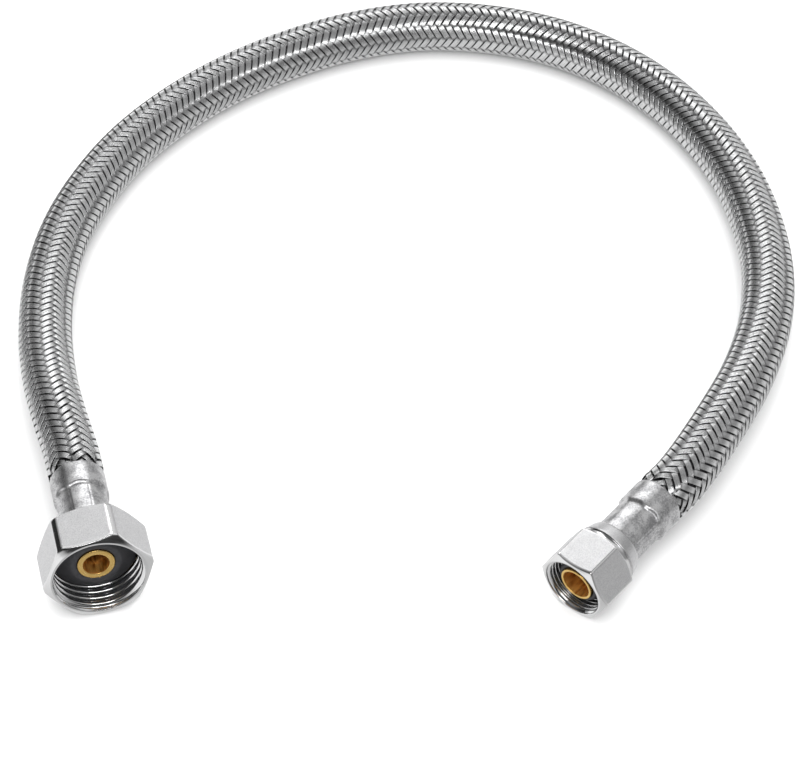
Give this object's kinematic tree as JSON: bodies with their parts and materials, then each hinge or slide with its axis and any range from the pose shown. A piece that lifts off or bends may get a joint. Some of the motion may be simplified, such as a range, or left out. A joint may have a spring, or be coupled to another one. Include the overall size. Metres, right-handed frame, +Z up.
{
  "type": "braided supply line",
  "caption": "Flexible braided water supply line with a large swivel nut for a faucet shank at one end and a small compression swivel nut for a stop valve at the other.",
  "frame": {"origin": "on the surface that the line lies on, midway between the two fittings' outer limits", "axes": "+Z up from the surface, +X from the faucet fitting towards the valve fitting, -Y the way the faucet nut opens"},
  "size_m": [0.1913, 0.2135, 0.024],
  "materials": {
    "braid": "bright woven stainless wire",
    "liner": "matt flexible liner",
    "ferrule": "satin stainless, crimp marks",
    "nut": "satin nickel plated flats, polished chamfers",
    "insert": "turned brass",
    "gasket": "matt black rubber"
  },
  "bodies": {
    "root": {"braid_sleeve": "braid", "inner_hose": "liner", "faucet_ferrule": "ferrule", "faucet_insert": "insert", "faucet_gasket": "gasket", "valve_ferrule": "ferrule", "valve_insert": "insert", "valve_gasket": "gasket"},
    "faucet_swivel": {"faucet_nut": "nut"},
    "valve_swivel": {"valve_nut": "nut"}
  },
  "joints": [
    {"name": "faucet_nut_turn", "type": "hinge", "parent": "root", "child": "faucet_swivel", "pos_m": [-0.05889, 0.00214, 0.01202], "axis": [0.0523, -0.9982, 0.0279], "continuous": true},
    {"name": "valve_nut_turn", "type": "hinge", "parent": "root", "child": "valve_swivel", "pos_m": [0.0482, -0.01703, 0.00834], "axis": [-0.7642, -0.6412, -0.0698], "continuous": true}
  ]
}
